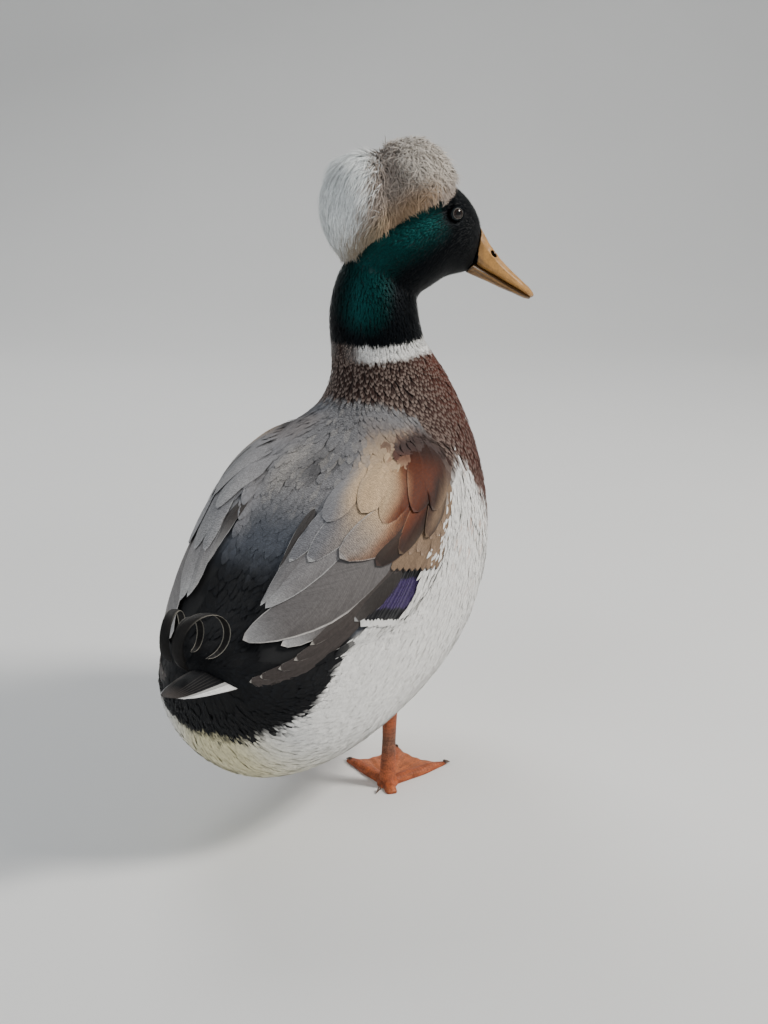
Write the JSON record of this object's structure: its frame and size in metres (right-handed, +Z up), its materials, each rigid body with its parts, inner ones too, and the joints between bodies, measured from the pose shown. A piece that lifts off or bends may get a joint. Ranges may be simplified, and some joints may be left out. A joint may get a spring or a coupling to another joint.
{
  "type": "crested drake",
  "caption": "Life-size still model of a crested domestic drake standing upright, head turned to its right, folded wings, curled tail feathers and webbed feet.",
  "frame": {"origin": "on the floor under the middle of the bird's box", "axes": "+X forward along the body, +Y to the bird's left, +Z up"},
  "size_m": [0.3954, 0.2016, 0.4944],
  "materials": {
    "body_plumage": "soft feathers",
    "head_plumage": "glossy green feathers",
    "crest_plumage": "fluffy feathers",
    "wing_plumage": "smooth feathers",
    "tail_plumage": "black feathers",
    "bill": "satin horn",
    "eye": "wet gloss",
    "leg_skin": "scaly skin"
  },
  "bodies": {
    "root": {"trunk": "body_plumage", "neck": "head_plumage", "head": "head_plumage", "crest": "crest_plumage", "bill_upper": "bill", "bill_lower": "bill", "eye_left": "eye", "eye_right": "eye", "wing_left": "wing_plumage", "wing_right": "wing_plumage", "tail": "tail_plumage", "tail_curl_left": "tail_plumage", "tail_curl_middle": "tail_plumage", "tail_curl_right": "tail_plumage", "leg_left": "leg_skin", "leg_right": "leg_skin", "foot_left": "leg_skin", "foot_right": "leg_skin"}
  },
  "joints": []
}
